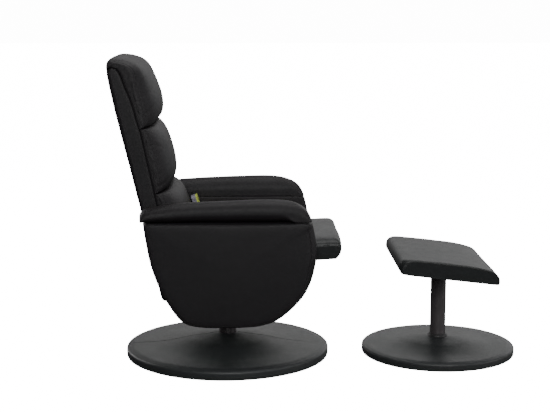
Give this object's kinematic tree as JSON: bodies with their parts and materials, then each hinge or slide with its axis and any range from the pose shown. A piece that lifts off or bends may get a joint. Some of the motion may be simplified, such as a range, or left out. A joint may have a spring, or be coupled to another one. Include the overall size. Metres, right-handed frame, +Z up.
{
  "type": "massage recliner with footstool",
  "caption": "Swivel recliner on a round pedestal base with padded sides, a sectioned back, built-in vibration motors, a handset and a matching footstool.",
  "frame": {"origin": "on the floor under the swivel axis of the chair", "axes": "+X forwards from the chair towards the footstool, +Y to the sitter's left, +Z up"},
  "size_m": [1.3818, 0.7002, 1.0352],
  "materials": {
    "leather": "satin faux leather, black",
    "seat_leather": "satin faux leather, dark grey-black",
    "felt": "matte felt",
    "zinc": "zinc plated",
    "black_paint": "black powder coat",
    "nylon": "natural nylon",
    "plywood": "birch plywood",
    "grey_plastic": "fine texture",
    "black_plastic": "fine texture",
    "lime_plastic": "smooth yellow-green",
    "circuit_board": "solder mask"
  },
  "bodies": {
    "base": {"floor_pad": "felt", "base_plate": "zinc", "base_cover": "seat_leather", "column_tube": "black_paint", "base_bolts": "zinc", "column_bushings": "nylon", "thrust_washer": "nylon"},
    "chair": {"spindle": "zinc", "spindle_clip": "zinc", "swivel_plate": "black_paint", "chassis_rails": "black_paint", "chassis_cross_tubes": "black_paint", "chassis_end_plates": "black_paint", "chassis_bolts": "zinc", "hinge_pins": "zinc", "control_box": "grey_plastic", "dc_inlet": "black_plastic", "right_side_board": "plywood", "left_side_board": "plywood", "right_side_pad": "leather", "left_side_pad": "leather", "right_arm_pad": "leather", "left_arm_pad": "leather"},
    "back": {"back_frame": "plywood", "back_shell": "leather", "head_cushion": "leather", "middle_cushion": "leather", "lumbar_cushion": "leather", "back_brackets": "black_paint", "back_cross_bar": "black_paint", "back_bushings": "nylon", "back_motor_housings": "grey_plastic"},
    "gas_cylinder": {"gas_cylinder": "black_paint"},
    "gas_rod": {"gas_rod": "zinc"},
    "seat": {"seat_frame": "plywood", "seat_webbing": "felt", "seat_cushion": "seat_leather", "seat_brackets": "black_paint", "seat_motor_housings": "grey_plastic", "lever_bracket": "black_paint"},
    "release_lever": {"release_lever": "grey_plastic"},
    "handset": {"handset_rear_case": "grey_plastic", "handset_front_case": "lime_plastic", "handset_board": "circuit_board"},
    "stool": {"stool_floor_pad": "felt", "stool_base_plate": "zinc", "stool_base_cover": "seat_leather", "stool_post": "black_paint", "stool_pad_board": "plywood", "stool_pad": "seat_leather"},
    "back_rotor_1": {"back_rotor_1": "zinc"},
    "back_rotor_2": {"back_rotor_2": "zinc"},
    "back_rotor_3": {"back_rotor_3": "zinc"},
    "back_rotor_4": {"back_rotor_4": "zinc"},
    "seat_rotor_1": {"seat_rotor_1": "zinc"},
    "seat_rotor_2": {"seat_rotor_2": "zinc"},
    "button_power": {"button_power": "black_plastic"},
    "button_mode": {"button_mode": "black_plastic"},
    "button_back": {"button_back": "black_plastic"},
    "button_seat": {"button_seat": "black_plastic"}
  },
  "joints": [
    {"name": "chair_swivel", "type": "hinge", "parent": "base", "child": "chair", "pos_m": [0, 0, 0.14], "axis": [0, 0, 1], "continuous": true},
    {"name": "back_recline", "type": "hinge", "parent": "chair", "child": "back", "pos_m": [-0.15, 0, 0.262], "axis": [0, -1, 0], "range_deg": [0, 17.6]},
    {"name": "seat_tilt", "type": "hinge", "parent": "chair", "child": "seat", "pos_m": [-0.15, 0, 0.35], "axis": [0, -1, 0], "range_deg": [0, 7.4]},
    {"name": "gas_swing", "type": "hinge", "parent": "chair", "child": "gas_cylinder", "pos_m": [0.085, 0, 0.2225], "axis": [0, 1, 0], "range_deg": [0, 3.23]},
    {"name": "gas_stroke", "type": "slide", "parent": "gas_cylinder", "child": "gas_rod", "axis": [0.9993, 0, 0.0367], "range_m": [0, 0.013]},
    {"name": "back_rotor_1_spin", "type": "hinge", "parent": "back", "child": "back_rotor_1", "pos_m": [-0.27932, -0.095, 0.69719], "axis": [0.9785, 0, 0.2062], "continuous": true},
    {"name": "back_rotor_2_spin", "type": "hinge", "parent": "back", "child": "back_rotor_2", "pos_m": [-0.27932, 0.095, 0.69719], "axis": [0.9785, 0, 0.2062], "continuous": true},
    {"name": "back_rotor_3_spin", "type": "hinge", "parent": "back", "child": "back_rotor_3", "pos_m": [-0.24053, -0.095, 0.51313], "axis": [0.9785, 0, 0.2062], "continuous": true},
    {"name": "back_rotor_4_spin", "type": "hinge", "parent": "back", "child": "back_rotor_4", "pos_m": [-0.24053, 0.095, 0.51313], "axis": [0.9785, 0, 0.2062], "continuous": true},
    {"name": "seat_rotor_1_spin", "type": "hinge", "parent": "seat", "child": "seat_rotor_1", "pos_m": [0.03894, -0.095, 0.34119], "axis": [-0.0593, 0, 0.9982], "continuous": true},
    {"name": "seat_rotor_2_spin", "type": "hinge", "parent": "seat", "child": "seat_rotor_2", "pos_m": [0.03894, 0.095, 0.34119], "axis": [-0.0593, 0, 0.9982], "continuous": true},
    {"name": "release_lever_pull", "type": "hinge", "parent": "seat", "child": "release_lever", "pos_m": [0.22089, 0.18, 0.34599], "axis": [0.9982, 0, 0.0593], "range_deg": [0, 12], "stiffness_Nm_per_rad": 1.5, "springref_deg": -11.46},
    {"name": "handset_lift", "type": "slide", "parent": "seat", "child": "handset", "axis": [0, 0, 1], "range_m": [0, 0.25]},
    {"name": "button_power_press", "type": "slide", "parent": "handset", "child": "button_power", "axis": [-0.9511, 0, -0.309], "range_m": [0, 0.0012], "stiffness_N_per_m": 600},
    {"name": "button_mode_press", "type": "slide", "parent": "handset", "child": "button_mode", "axis": [-0.9511, 0, -0.309], "range_m": [0, 0.0012], "stiffness_N_per_m": 600},
    {"name": "button_back_press", "type": "slide", "parent": "handset", "child": "button_back", "axis": [-0.9511, 0, -0.309], "range_m": [0, 0.0012], "stiffness_N_per_m": 600},
    {"name": "button_seat_press", "type": "slide", "parent": "handset", "child": "button_seat", "axis": [-0.9511, 0, -0.309], "range_m": [0, 0.0012], "stiffness_N_per_m": 600},
    {"name": "stool_slide", "type": "slide", "parent": "base", "child": "stool", "axis": [1, 0, 0], "range_m": [-0.08, 0.3]}
  ],
  "couplings": [
    {"joint": "seat_tilt", "follows": "back_recline", "ratio": 0.42},
    {"joint": "gas_swing", "follows": "back_recline", "ratio": 0.18305},
    {"joint": "gas_stroke", "follows": "back_recline", "m_per_rad": 0.042056}
  ]
}
